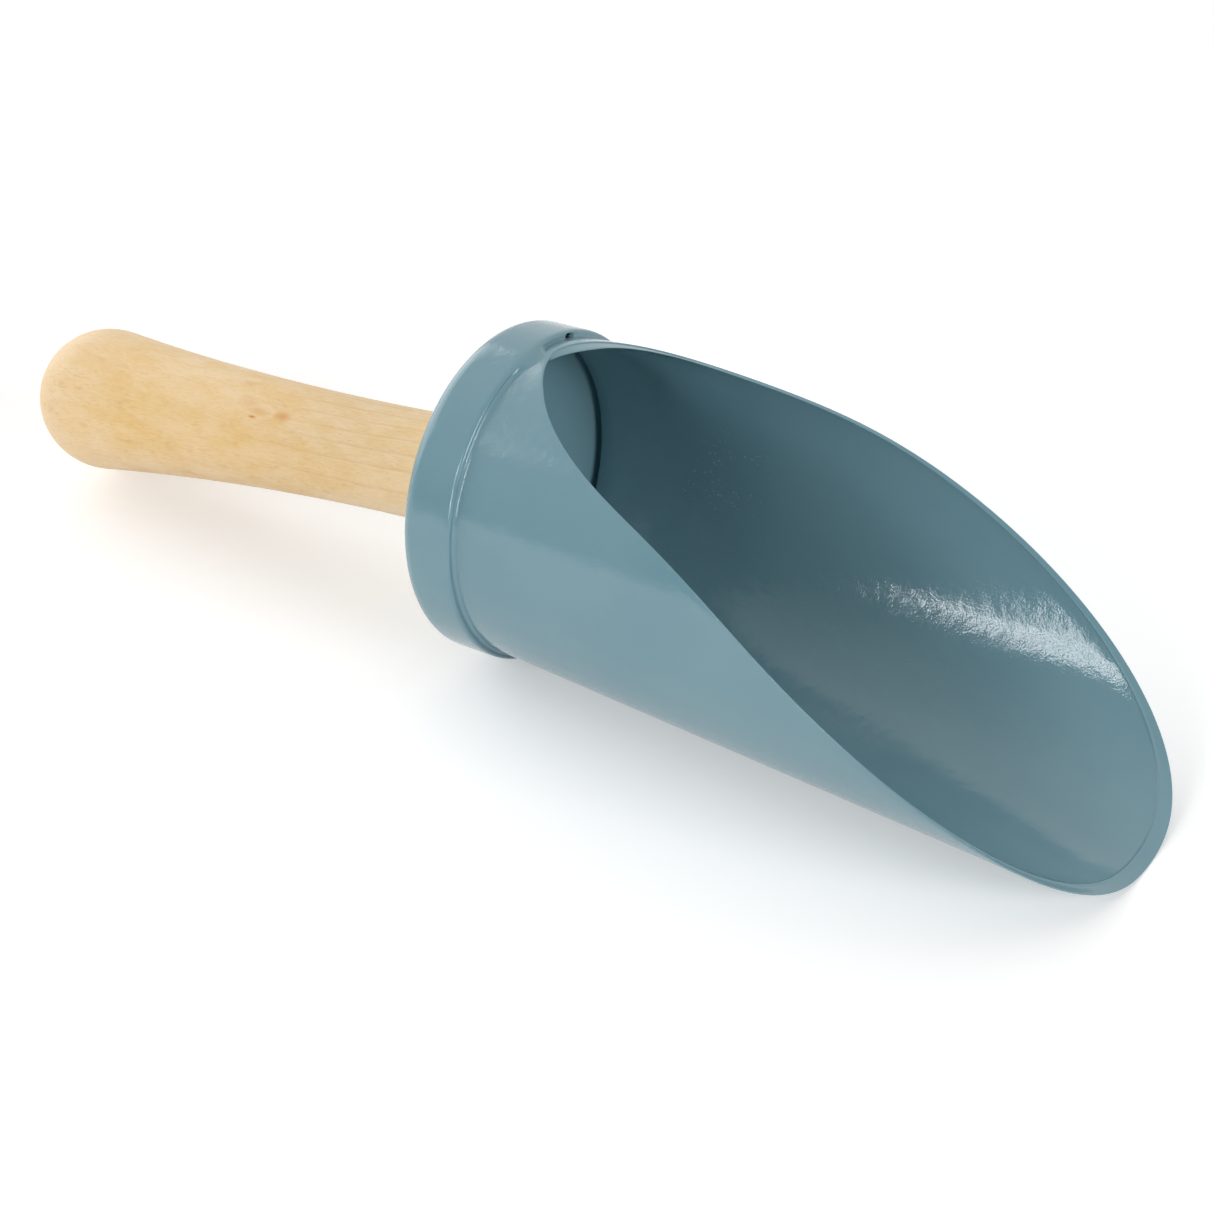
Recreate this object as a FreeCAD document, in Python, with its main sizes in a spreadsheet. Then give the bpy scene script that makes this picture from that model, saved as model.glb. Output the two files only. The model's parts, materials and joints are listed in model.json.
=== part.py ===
import FreeCAD, Part
import math
import os
import re
import Sketcher
from FreeCAD import Placement, Rotation, Vector

# Hand feed scoop: a trough rolled from sheet steel, seated in a drawn and hemmed end cap, with a turned
# wooden handle held to the cap by a screw and washer. Millimetres and degrees.
#
# The pieces are drawn about the cap's axis: X runs along it towards the lip, X = 0 is the cap's back
# face and Z is up. They are then laid on a flat surface together, as the scoop lies: on the corner of
# the cap and on the lip, with the origin under the middle of the whole scoop.

SIZES = {
    "trough_radius": (40.25, "outside radius of the trough where it leaves the cap"),
    "trough_sheet": (1.0, "thickness of the trough's sheet"),
    "trough_length": (161.0, "from the cap's rim to the lip"),
    "flare_angle": (3.9, "half-angle of the trough's cone, wider at the lip"),
    "rear_gap": (2.7, "from the inside of the cap's disc to the trough's rear edge"),
    "seam_gap": (0.3, "between the two butted edges of the rolled sheet"),
    "mouth_start": (3.7, "bare tube left between the cap's rim and the mouth"),
    "mouth_angle": (24.3, "slope of the mouth's edge where it starts at the top"),
    "mouth_pull": (42.7, "how far that slope carries on"),
    "shoulder_reach": (60.3, "from the cap's rim to the pole that steers the edge along the side"),
    "shoulder_height": (29.2, "height of that pole above the axis"),
    "lip_angle": (66.9, "slope of the mouth's edge where it ends at the lip"),
    "lip_pull": (10.1, "how far before the lip that slope begins"),
    "cut_margin": (6.0, "how far a cut runs past the metal"),
    "cap_sheet": (0.8, "thickness of the cap's sheet"),
    "cap_depth": (15.2, "from the cap's back face to its rim"),
    "cap_corner": (4.3, "outside radius between the cap's disc and its flange"),
    "hem_length": (5.0, "width of the rim's folded hem"),
    "hem_bevel": (0.4, "bevel on the outside of the hem's nose"),
    "rim_clearance": (0.15, "between the hem and the trough"),
    "handle_length": (158.8, "from the cap to the butt, along the handle"),
    "handle_droop": (4.44, "angle of the handle below the cap's axis"),
    "neck_radius": (14.6, "radius of the handle at the cap"),
    "waist_curve": (950.0, "radius of the long hollow curve of the handle's side"),
    "butt_radius": (19.7, "radius of the ball that ends the handle"),
    "screw_radius": (2.4, "radius of the screw's shank"),
    "screw_length": (38.0, "under the screw's head"),
    "screw_point": (7.0, "length of the screw's tapered point"),
    "point_radius": (0.3, "radius of the point's blunt end"),
    "head_radius": (4.6, "radius of the screw's pan head"),
    "head_height": (2.8, "height of the screw's pan head"),
    "head_bevel": (1.1, "bevel round the top of the pan head"),
    "slot_width": (1.2, "width of the slot in the screw's head"),
    "slot_depth": (1.4, "depth of the slot in the screw's head"),
    "washer_radius": (9.0, "outside radius of the washer"),
    "washer_sheet": (1.2, "thickness of the washer"),
    "hole_clearance": (0.3, "round the screw in the cap and in the washer"),
    "pilot_clearance": (0.05, "round the screw in the handle's pilot hole"),
    "pilot_extra": (2.0, "how far the pilot hole runs past the screw's point"),
}

# Lengths that follow from the sizes, as formulas for the document's expressions.
CAP_RADIUS = "(trough_radius + rim_clearance + 2 * cap_sheet)"
LIP_RADIUS = "(trough_radius + trough_length * tan(flare_angle))"
LIP_X = "(cap_depth + trough_length)"
SCREW_SEAT = "(cap_sheet + washer_sheet)"
HOLE_RADIUS = "(screw_radius + hole_clearance)"


def formula(text):
    """Put the sheet's name before every size that a formula names."""
    return re.sub(r"\b(" + "|".join(SIZES) + r")\b", r"Sizes.\1", text)


def make_sheet(doc):
    """Write the driving sizes into the document's spreadsheet, one row each."""
    sheet = doc.addObject("Spreadsheet::Sheet", "Sizes")
    for row, (alias, (number, meaning)) in enumerate(SIZES.items(), start=1):
        sheet.set(f"A{row}", meaning)
        sheet.set(f"B{row}", str(number))
        sheet.setAlias(f"B{row}", alias)
    doc.recompute()
    return sheet


def new_body(doc, label):
    body = doc.addObject("PartDesign::Body", label)
    body.Label = label
    return body


def new_sketch(body, name, role):
    """Start a sketch on one of the body's own origin planes."""
    sketch = body.newObject("Sketcher::SketchObject", name)
    plane = next(f for f in body.Origin.OriginFeatures if f.Role == role)
    sketch.AttachmentSupport = (plane, "")
    sketch.MapMode = "FlatFace"
    return sketch


def number(sketch, text):
    """The present value of a formula."""
    return float(sketch.evalExpression(formula(text)))


def point(sketch, corner):
    return Vector(number(sketch, corner[0]), number(sketch, corner[1]), 0)


def drive(sketch, kind, places, text):
    """Add a dimension and bind it to a formula."""
    index = sketch.addConstraint(Sketcher.Constraint(kind, *places, number(sketch, text)))
    sketch.setExpression(f"Constraints[{index}]", formula(text))


def drive_point(sketch, geometry, position, corner):
    drive(sketch, "DistanceX", (-1, 1, geometry, position), corner[0])
    drive(sketch, "DistanceY", (-1, 1, geometry, position), corner[1])


def add_line(sketch, corner, following):
    """A straight edge. Returns the geometry and its positions at the start and at the end."""
    index = sketch.addGeometry(Part.LineSegment(point(sketch, corner), point(sketch, following)), False)
    return index, 1, 2


def add_arc(sketch, corner, following, radius, turn):
    """The shorter arc between two corners, turning left (1) or right (-1)."""
    start = point(sketch, corner)
    end = point(sketch, following)
    chord = end - start
    size = number(sketch, radius)
    sagitta_side = Vector(-chord.y, chord.x, 0).normalize() * turn
    centre = (start + end) * 0.5 + sagitta_side * math.sqrt(size ** 2 - chord.Length ** 2 / 4)
    first, last = (start, end) if turn > 0 else (end, start)
    angles = [math.atan2(p.y - centre.y, p.x - centre.x) for p in (first, last)]
    circle = Part.Circle(centre, Vector(0, 0, 1), size)
    index = sketch.addGeometry(Part.ArcOfCircle(circle, *angles), False)
    at_start, at_end = (1, 2) if turn > 0 else (2, 1)
    drive(sketch, "Radius", (index,), radius)
    return index, at_start, at_end


def add_spline(sketch, poles):
    """A cubic curve from the first pole to the last, with a single knot halfway. The first and the last
    pole are corners of the outline, which drives them."""
    curve = Part.BSplineCurve()
    curve.buildFromPolesMultsKnots([point(sketch, p) for p in poles], [4, 1, 4], [0, 0.5, 1], False, 3)
    index = sketch.addGeometry(curve, False)
    sketch.exposeInternalGeometry(index)
    for place, pole in enumerate(poles[1:-1], start=index + 2):
        drive_point(sketch, place, 3, pole)
    return index, 1, 2


def outline(sketch, path):
    """Draw a closed outline. Each step is a corner and the edge that leaves it: "line", a radius and a
    turn for an arc, or the poles between the corner and the next one for a curve. A corner that is
    marked "smooth" is only roughly placed: its two edges are tangent, and that finds its place."""
    edges = []
    for step, (corner, edge) in enumerate(path):
        following = path[(step + 1) % len(path)][0]
        if edge == "line":
            edges.append(add_line(sketch, corner, following))
        elif isinstance(edge, tuple):
            edges.append(add_arc(sketch, corner, following, *edge))
        else:
            edges.append(add_spline(sketch, [corner, *edge, following]))
    for step, (index, at_start, _) in enumerate(edges):
        before, _, at_end = edges[step - 1]
        corner = path[step][0]
        if "smooth" in corner:
            sketch.addConstraint(Sketcher.Constraint("Tangent", before, at_end, index, at_start))
        else:
            sketch.addConstraint(Sketcher.Constraint("Coincident", before, at_end, index, at_start))
            drive_point(sketch, index, at_start, corner)
    return [index for index, _, _ in edges]


def rectangle(left, bottom, right, top):
    return [((left, bottom), "line"), ((right, bottom), "line"), ((right, top), "line"), ((left, top), "line")]


def revolve(body, sketch, name):
    """Turn a sketch about its own horizontal axis."""
    feature = body.newObject("PartDesign::Revolution", name)
    feature.Profile = sketch
    feature.ReferenceAxis = (sketch, ["H_Axis"])
    feature.Angle = 360
    body.Document.recompute()


def pocket(body, sketch, name, depth=None, both_sides=False, reverse=False):
    """Cut a sketch's outline out of the body, through everything unless a depth is given."""
    before = body.Shape.Volume
    feature = body.newObject("PartDesign::Pocket", name)
    feature.Profile = sketch
    feature.Midplane = both_sides
    feature.Reversed = reverse
    if depth is None:
        feature.Type = "ThroughAll"
    else:
        feature.Type = "Length"
        feature.setExpression("Length", formula(depth))
    body.Document.recompute()
    if not body.Shape.Volume < before:
        raise RuntimeError(f"{name} cuts nothing")


def cone_radius(x):
    """Outside radius of the trough at a place along the axis."""
    return f"(trough_radius + ({x} - cap_depth) * tan(flare_angle))"


def trough_blank(body):
    """The rolled cone, from its rear edge in the cap to past the lip."""
    wall = "(trough_sheet / cos(flare_angle))"
    rear = "(cap_sheet + rear_gap)"
    front = f"({LIP_X} + cut_margin)"
    sketch = new_sketch(body, "WallSection", "XZ_Plane")
    outline(sketch, [
        ((rear, f"{cone_radius(rear)} - {wall}"), "line"),
        ((front, f"{cone_radius(front)} - {wall}"), "line"),
        ((front, cone_radius(front)), "line"),
        ((rear, cone_radius(rear)), "line"),
    ])
    revolve(body, sketch, "Wall")


def trough_seam(body):
    """The gap between the sheet's two edges, which meet along the top."""
    sketch = new_sketch(body, "SeamOutline", "XY_Plane")
    outline(sketch, rectangle("0", "-seam_gap / 2", LIP_X, "seam_gap / 2"))
    pocket(body, sketch, "Seam", reverse=True)


def trough_mouth(body):
    """The long sweeping cut, seen from the side: it starts just past the cap, dips below the axis and
    drops round the lip. It runs straight on past the sheet at both ends."""
    start_x = "(cap_depth + mouth_start)"
    start_z = cone_radius(start_x)
    lip_z = f"-{LIP_RADIUS}"
    past = "cut_margin"
    left = f"{start_x} - {past} * cos(mouth_angle)"
    bottom = f"{lip_z} - {past} * sin(lip_angle)"
    right = f"{LIP_X} + 2 * {past}"
    top = f"{LIP_RADIUS} + {past}"
    sketch = new_sketch(body, "MouthOutline", "XZ_Plane")
    outline(sketch, [
        ((left, f"{start_z} + {past} * sin(mouth_angle)"), "line"),
        ((start_x, start_z), [
            (f"{start_x} + mouth_pull * cos(mouth_angle)", f"{start_z} - mouth_pull * sin(mouth_angle)"),
            ("cap_depth + shoulder_reach", "shoulder_height"),
            (f"{LIP_X} - lip_pull * cos(lip_angle)", f"{lip_z} + lip_pull * sin(lip_angle)"),
        ]),
        ((LIP_X, lip_z), "line"),
        ((f"{LIP_X} + {past} * cos(lip_angle)", bottom), "line"),
        ((right, bottom), "line"),
        ((right, top), "line"),
        ((left, top), "line"),
    ])
    pocket(body, sketch, "Mouth", both_sides=True)


def make_scoop_body(doc):
    """The trough: a sheet rolled to a cone, butted along the top and cut away to leave the mouth."""
    body = new_body(doc, "scoop_body")
    trough_blank(body)
    trough_seam(body)
    trough_mouth(body)
    return body


def make_end_cap(doc):
    """The drawn cap: a flat disc with a screw hole, a round corner, a straight flange and a hemmed rim
    whose inner face follows the trough."""
    body = new_body(doc, "end_cap")
    inner_radius = f"({CAP_RADIUS} - cap_sheet)"
    corner_centre = f"({CAP_RADIUS} - cap_corner)"
    hem_end = "(cap_depth - hem_length)"
    sketch = new_sketch(body, "CapSection", "XZ_Plane")
    outline(sketch, [
        (("0", HOLE_RADIUS), "line"),
        (("0", corner_centre), ("cap_corner", -1)),
        (("cap_corner", CAP_RADIUS), "line"),
        (("cap_depth - hem_bevel", CAP_RADIUS), "line"),
        (("cap_depth", f"{CAP_RADIUS} - hem_bevel"), "line"),
        (("cap_depth", "trough_radius + rim_clearance"), "line"),
        ((hem_end, f"{cone_radius(hem_end)} + rim_clearance"), "line"),
        ((hem_end, inner_radius), "line"),
        (("cap_corner", inner_radius), "line"),
        (("cap_sheet", corner_centre), "line"),
        (("cap_sheet", HOLE_RADIUS), "line"),
    ])
    revolve(body, sketch, "Cup")
    return body


def make_handle(doc):
    """The turned handle: a slim neck and one long hollow curve that runs out into a ball, sawn flush
    with the cap's back and bored for the screw. Its axis droops from the middle of the cap."""
    body = new_body(doc, "handle")
    profile = new_sketch(body, "HandleProfile", "XZ_Plane")
    profile.AttachmentOffset = Placement(Vector(), Rotation(Vector(0, 0, 1), SIZES["handle_droop"][0]))
    profile.setExpression("AttachmentOffset.Rotation.Angle", formula("handle_droop"))
    edges = outline(profile, [
        (("neck_radius", "0"), "line"),
        (("neck_radius", "neck_radius"), "line"),
        (("0", "neck_radius"), ("waist_curve", -1)),
        (("butt_radius - handle_length", "butt_radius", "smooth"), ("butt_radius", 1)),
        (("-handle_length", "0"), "line"),
    ])
    ball = edges[3]
    profile.addConstraint(Sketcher.Constraint("PointOnObject", ball, 3, -1))
    revolve(body, profile, "Turning")
    joint = new_sketch(body, "JointOutline", "XZ_Plane")
    outline(joint, rectangle("0", "-2 * neck_radius", "2 * neck_radius", "2 * neck_radius"))
    pocket(body, joint, "Joint", both_sides=True)
    bore = new_sketch(body, "PilotOutline", "YZ_Plane")
    bore.addGeometry(Part.Circle(Vector(), Vector(0, 0, 1), number(bore, "screw_radius")), False)
    bore.addConstraint(Sketcher.Constraint("Coincident", 0, 3, -1, 1))
    drive(bore, "Radius", (0,), "screw_radius + pilot_clearance")
    pocket(body, bore, "Pilot", depth=f"screw_length - {SCREW_SEAT} + pilot_extra")
    return body


def make_washer(doc):
    """The washer inside the cap, flat against the disc."""
    body = new_body(doc, "washer")
    sketch = new_sketch(body, "WasherSection", "XZ_Plane")
    outline(sketch, rectangle("cap_sheet", HOLE_RADIUS, SCREW_SEAT, "washer_radius"))
    revolve(body, sketch, "Ring")
    return body


def make_handle_screw(doc):
    """The pan-head wood screw, driven from inside the cap into the handle."""
    body = new_body(doc, "handle_screw")
    crown = f"({SCREW_SEAT} + head_height)"
    tip = f"({SCREW_SEAT} - screw_length)"
    profile = new_sketch(body, "ScrewProfile", "XZ_Plane")
    outline(profile, [
        ((crown, "0"), "line"),
        ((crown, "head_radius - head_bevel"), "line"),
        ((f"{crown} - head_bevel", "head_radius"), "line"),
        ((SCREW_SEAT, "head_radius"), "line"),
        ((SCREW_SEAT, "screw_radius"), "line"),
        ((f"{tip} + screw_point", "screw_radius"), "line"),
        ((tip, "point_radius"), "line"),
        ((tip, "0"), "line"),
    ])
    revolve(body, profile, "Turning")
    slot = new_sketch(body, "SlotOutline", "XZ_Plane")
    outline(slot, rectangle(f"{crown} - slot_depth", "-slot_width / 2", f"{crown} + slot_depth", "slot_width / 2"))
    pocket(body, slot, "Slot", both_sides=True)
    return body


def rest_angle(sheet):
    """How far the lip tips up when the scoop lies on the cap's round corner and on the lip."""
    cap_radius = sheet.trough_radius + sheet.rim_clearance + 2 * sheet.cap_sheet
    flare = math.tan(math.radians(sheet.flare_angle))
    length = sheet.cap_depth + sheet.trough_length - sheet.cap_corner
    drop = sheet.trough_radius + sheet.trough_length * flare - (cap_radius - sheet.cap_corner)
    slope = math.atan2(drop, length) - math.asin(sheet.cap_corner / math.hypot(length, drop))
    return math.degrees(slope)


def lay_down(bodies, sheet):
    """Give every piece the one placement that puts the scoop on the surface it lies on."""
    turn = Rotation(Vector(0, 1, 0), -rest_angle(sheet))
    placed = Part.makeCompound([body.Shape for body in bodies])
    placed.Placement = Placement(Vector(), turn)
    box = placed.optimalBoundingBox(False)
    shift = Vector(-box.Center.x, -box.Center.y, -box.ZMin)
    for body in bodies:
        body.Placement = Placement(shift, turn)


def check(doc, bodies):
    """Stop before anything is written if an object failed or a piece is not one sound solid."""
    for item in doc.Objects:
        if {"Invalid", "Error"} & set(item.State):
            raise RuntimeError(f"{item.Name} failed: {item.State}")
    for body in bodies:
        shape = body.Shape
        if shape.isNull() or not shape.isValid() or len(shape.Solids) != 1:
            raise RuntimeError(f"{body.Label} is not one sound solid")


def main():
    doc = FreeCAD.newDocument("FeedScoop")
    sheet = make_sheet(doc)
    makers = (make_scoop_body, make_end_cap, make_handle, make_washer, make_handle_screw)
    bodies = [maker(doc) for maker in makers]
    lay_down(bodies, sheet)
    doc.recompute()
    check(doc, bodies)
    os.makedirs("parts", exist_ok=True)
    for body in bodies:
        body.Shape.exportStep(f"parts/{body.Label}.step")
        box = body.Shape.optimalBoundingBox(False)
        print(f"{body.Label}: volume {body.Shape.Volume:.0f} mm3, size "
              f"{box.XLength:.1f} x {box.YLength:.1f} x {box.ZLength:.1f} mm, lowest {box.ZMin:.2f} mm")


main()
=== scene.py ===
"""Feed scoop: the visual pieces, finishes and studio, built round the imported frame."""
import json
import math

import bpy
from mathutils import Euler, Matrix, Vector
from mathutils.geometry import interpolate_bezier


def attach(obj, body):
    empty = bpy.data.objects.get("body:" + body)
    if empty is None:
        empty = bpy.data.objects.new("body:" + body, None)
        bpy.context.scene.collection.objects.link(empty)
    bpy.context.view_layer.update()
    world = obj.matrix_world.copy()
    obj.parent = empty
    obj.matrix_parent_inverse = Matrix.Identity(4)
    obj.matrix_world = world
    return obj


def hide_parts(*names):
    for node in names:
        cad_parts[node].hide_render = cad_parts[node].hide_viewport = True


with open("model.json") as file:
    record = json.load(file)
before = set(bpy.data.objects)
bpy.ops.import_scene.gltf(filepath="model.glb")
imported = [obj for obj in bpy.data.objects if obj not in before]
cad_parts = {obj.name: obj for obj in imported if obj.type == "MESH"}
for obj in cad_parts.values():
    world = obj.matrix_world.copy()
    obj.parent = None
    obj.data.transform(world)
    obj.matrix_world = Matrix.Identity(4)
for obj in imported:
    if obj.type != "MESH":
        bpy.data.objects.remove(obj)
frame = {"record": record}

bl_info = {
    "name": "Feed scoop",
    "version": (1, 0, 0),
    "blender": (4, 5, 0),
    "location": "3D View > Sidebar > Feed scoop",
    "description": "Rolls, presses and turns the pieces of a feed scoop with a wooden handle",
    "category": "Object",
}

MM = 0.001
QUARTER = math.pi / 2               # a quarter of a turn
WHITE = (1.0, 1.0, 1.0, 1.0)
# the dust nibs' tone, paler than the coat: a painted glint on each nib
NIB_GLINT_TONE = (0.42, 0.46, 0.42, 1.0)
# painted shade for the pit beside the cap's rim
PIT_SHADE_TONE = (0.010, 0.012, 0.014, 1.0)
DULL_ZINC = (0.42, 0.43, 0.44, 1.0)
WELD = 0.002 * MM                   # points of one surface closer than this are one point
MOUNTS = {mount["name"]: mount for mount in frame["record"]["mounts"]}
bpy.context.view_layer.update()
CAP_RADIUS = MOUNTS["cap_flange"]["dims"]["r_mm"] * MM
FLANGE_LENGTH = MOUNTS["cap_flange"]["dims"]["length_mm"] * MM


# ---------------------------------------------------------------- sizes and looks

def length(name, meaning, millimetres, **limits):
    return bpy.props.FloatProperty(
        name=name, description=meaning, default=millimetres * MM, unit="LENGTH", precision=5, **limits)


def angle(name, meaning, degrees):
    return bpy.props.FloatProperty(
        name=name, description=meaning, default=math.radians(degrees), subtype="ANGLE", unit="ROTATION")


def count(name, meaning, number, least=3):
    return bpy.props.IntProperty(name=name, description=meaning, default=number, min=least)


def share(name, meaning, value):
    return bpy.props.FloatProperty(
        name=name, description=meaning, default=value, min=0.0, max=1.0, subtype="FACTOR", precision=3)


def level(name, meaning, value):
    return bpy.props.FloatProperty(name=name, description=meaning, default=value, min=0.0, precision=3)


def colour(name, meaning, red, green, blue):
    """A colour given as it looks on a screen, from 0 to 255, kept as the light it sends back."""
    def light(value):
        value /= 255
        return value / 12.92 if value <= 0.04045 else ((value + 0.055) / 1.055) ** 2.4
    return bpy.props.FloatVectorProperty(
        name=name, description=meaning, size=3, min=0.0, max=1.0, subtype="COLOR",
        default=(light(red), light(green), light(blue)))


class FeedScoopBodySizes(bpy.types.PropertyGroup):
    """Sizes of the rolled body, measured from the back of the cap along the cap's axis."""
    rear: length("Rear edge", "Where the rolled sheet starts inside the cap", 3.5)
    rim: length("Cap rim", "Where the cap's rim stands along the body", 15.2)
    radius: length("Radius at the rim", "Outside radius of the body where the cap's rim stands", 40.25)
    reach: length("Length beyond the rim", "From the cap's rim to the front of the lip", 160.93)
    sheet: length("Sheet", "Thickness of the rolled sheet", 1.0)
    flare: angle("Flare", "How far the body opens towards the lip", 3.9)
    seam: length("Seam gap", "Gap between the two edges that meet on top", 0.3)
    mouth_start: length("Mouth start", "From the rim to where the mouth is cut through the top", 3.7)
    mouth_angle: angle("Mouth start angle", "How steeply the cut goes down from there", 24.3)
    mouth_pull: length("Mouth start pull", "How long the cut keeps that direction", 42.7)
    shoulder_reach: length("Shoulder reach", "From the rim to the shoulder of the cut", 60.3)
    shoulder_height: length("Shoulder height", "How high above the axis the shoulder lies", 29.2)
    lip_angle: angle("Lip angle", "How steeply the cut meets the lip", 66.9)
    lip_pull: length("Lip pull", "How long the cut keeps the lip's direction", 10.1)
    edge_round: length("Edge rounding", "How far the cut edge is rounded over on the outside", 0.5)
    top_lead: length("Top lead", "How much further the slanting cut reaches on the inside, on top", 2.7)
    side_bevel: length("Side bevel", "How far in from the cut edge the inside is bevelled at the sides", 0.9)
    lip_bevel: length("Lip bevel", "How far in from the cut edge the inside is bevelled at the lip", 2.5)
    lip_bead: length("Lip bead", "Height of the bead of paint along the inside of that bevel", 0.26)
    lines: count("Lines round the body", "How many lengthwise lines the sheet is rolled with", 288, 24)
    rows: count("Rows along a wall", "How many faces run along each wall", 26, 4)


class FeedScoopCapSizes(bpy.types.PropertyGroup):
    """Sizes of the pressed end cap."""
    depth: length("Depth", "From the back of the cap to its rim", 15.2)
    sheet: length("Sheet", "Thickness of the pressed sheet", 0.8)
    corner: length("Corner", "Outside radius of the drawn corner", 4.3)
    hem: length("Hem", "How far the folded edge reaches back inside the flange", 5.0)
    hem_gap: length("Hem gap", "Gap between the folded edge and the body", 0.15)
    nose: length("Nose", "Rounding where the flange folds over at the rim", 0.8)
    fillet: length("Paint fillet", "How far the paint bridges from the rim to the body", 0.72)
    blob_angle: angle("Blob angle", "How far from the top a run of paint lies on the near side", 6.0)
    blob_width: angle("Blob width", "Half the width of that run of paint", 8.0)
    blob_reach: length("Blob reach", "How far that run of paint reaches on to the body", 3.2)
    hole: length("Hole radius", "Radius of the screw's hole in the back", 2.7)
    pit_angle: angle("Pit angle", "How far from the top a pit at the rim lies on the far side", 16.5)
    pit_width: length("Pit width", "Half the width of that pit", 1.1)
    pit_depth: length("Pit depth", "How far the pit goes back into the joint", 3.0)
    steps: count("Steps round the cap", "How many steps the outline is spun with", 360, 24)


class FeedScoopHandleSizes(bpy.types.PropertyGroup):
    """Sizes of the turned handle, measured along its own axis."""
    neck: length("Neck radius", "Radius where the handle meets the cap", 14.6)
    hollow: length("Hollow radius", "Radius of the long hollow curve of the waist", 950.0)
    ball: length("Ball radius", "Radius of the round end", 19.7)
    reach: length("Ball centre", "From the cap to the middle of the round end", 138.6)
    steps: count("Steps round the handle", "How many steps the outline is spun with", 160, 24)


class FeedScoopFixingSizes(bpy.types.PropertyGroup):
    """Sizes of the screw and washer inside the cap."""
    washer_radius: length("Washer radius", "Outside radius of the washer", 9.0)
    washer_hole: length("Washer hole", "Radius of the washer's hole", 2.7)
    washer_sheet: length("Washer sheet", "Thickness of the washer", 1.2)
    washer_edge: length("Washer edge", "Rounding of the washer's stamped edges", 0.25)
    head_radius: length("Head radius", "Radius of the pan head", 4.6)
    head_height: length("Head height", "Height of the pan head", 2.8)
    head_round: length("Head rounding", "Rounding of the pan head's edge", 1.1)
    slot_width: length("Slot width", "Width of the driver slot", 1.2)
    slot_depth: length("Slot depth", "Depth of the driver slot", 1.4)
    shank_radius: length("Shank radius", "Radius over the threads", 2.4)
    root_radius: length("Root radius", "Radius of the core between the threads", 1.75)
    shank_length: length("Screw length", "From under the head to the point", 38.0)
    plain_length: length("Plain length", "Length of shank without a thread, under the head", 9.0)
    pitch: length("Pitch", "From one thread to the next", 2.0)
    point: length("Point", "Length of the tapered point", 7.0)
    steps: count("Steps round", "How many steps the outlines are spun with", 64, 12)


class FeedScoopPaintLook(bpy.types.PropertyGroup):
    """The powder-coated finish."""
    tone: colour("Tone", "The paint's own colour", 116, 152, 163)
    thin: colour("Thin tone", "The colour where the coat is thinner", 111, 148, 160)
    gloss: share("Roughness", "How far the gloss is spread", 0.085)
    peel: length("Peel depth", "Height of the orange peel", 0.06)
    nibs: share("Nibs", "How many dust nibs there are in the coat", 0.8)


class FeedScoopWoodLook(bpy.types.PropertyGroup):
    """The pale turned wood."""
    pale: colour("Pale", "The lightest wood", 250, 227, 195)
    warm: colour("Warm", "The warmer patches", 238, 203, 140)
    growth: colour("Growth line", "The faint darker growth lines and pores", 218, 172, 108)
    fleck: colour("Fleck", "The small pin knots", 216, 138, 40)
    satin: share("Roughness", "How matt the oiled surface is", 0.56)


class FeedScoopPlateLook(bpy.types.PropertyGroup):
    """The zinc-plated finish of the screw and washer."""
    tone: colour("Tone", "The plating's own colour", 196, 198, 196)
    gloss: share("Roughness", "How far the gloss is spread", 0.32)


class FeedScoopStageLook(bpy.types.PropertyGroup):
    """The floor, lamps, room and camera."""
    aim: bpy.props.FloatVectorProperty(
        name="Aim", description="The point that the camera looks at", size=3, subtype="TRANSLATION",
        unit="LENGTH", default=(0.02076, 0.0, 0.01569))
    distance: length("Distance", "From the camera to its aim", 600.7)
    turn: angle("Turn", "How far round to the right of the front the camera stands", 34.526)
    rise: angle("Rise", "How high the camera stands", 33.896)
    roll: angle("Roll", "How far the camera is tipped over", -0.53)
    lens: bpy.props.FloatProperty(
        name="Lens", description="Focal length", default=71.129, unit="CAMERA", min=1.0)
    floor_tone: level("Floor tone", "How pale the floor is", 0.86)
    floor_lift: level("Floor lift", "Brightness added so that the floor looks white", 0.32)
    room_dark: level("Dark side", "Brightness of the darkest part of the room", 0.06)
    room_pale: level("Pale side", "Brightness added towards the pale wall behind the handle", 0.9)
    room_top: level("Ceiling", "Brightness added overhead", 0.05)
    front_brightness: level("Front brightness", "Brightness of the window panes in front", 9.2)
    side_brightness: level("Side brightness", "Brightness of the softbox that faces the mouth", 8.0)
    rear_brightness: level("Rear brightness", "Brightness of the wide scrim beside the handle", 1.7)


# ---------------------------------------------------------------- bench tools

def start_clean():
    """Leaves edit mode and selects nothing, so that the next operator acts on its own piece."""
    if bpy.context.object and bpy.context.object.mode != "OBJECT":
        bpy.ops.object.mode_set(mode="OBJECT")
    bpy.ops.object.select_all(action="DESELECT")


def take(*pieces):
    """Selects these pieces alone; the first is the one that operators act on."""
    start_clean()
    for piece in pieces:
        piece.select_set(True)
    bpy.context.view_layer.objects.active = pieces[0]


def edit_all():
    """Goes into edit mode with the whole piece selected."""
    bpy.ops.object.mode_set(mode="EDIT")
    bpy.ops.mesh.select_all(action="SELECT")


def turn_outwards():
    """Faces the whole piece outwards and leaves edit mode."""
    bpy.ops.mesh.select_all(action="SELECT")
    bpy.ops.mesh.normals_make_consistent(inside=False)
    bpy.ops.object.mode_set(mode="OBJECT")


def within(value):
    """The value, kept between 0 and 1."""
    return min(1.0, max(0.0, value))


def name_piece(name):
    """Names the piece that an operator has just made."""
    piece = bpy.context.object
    piece.name = name
    piece.data.name = name
    return piece


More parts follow.
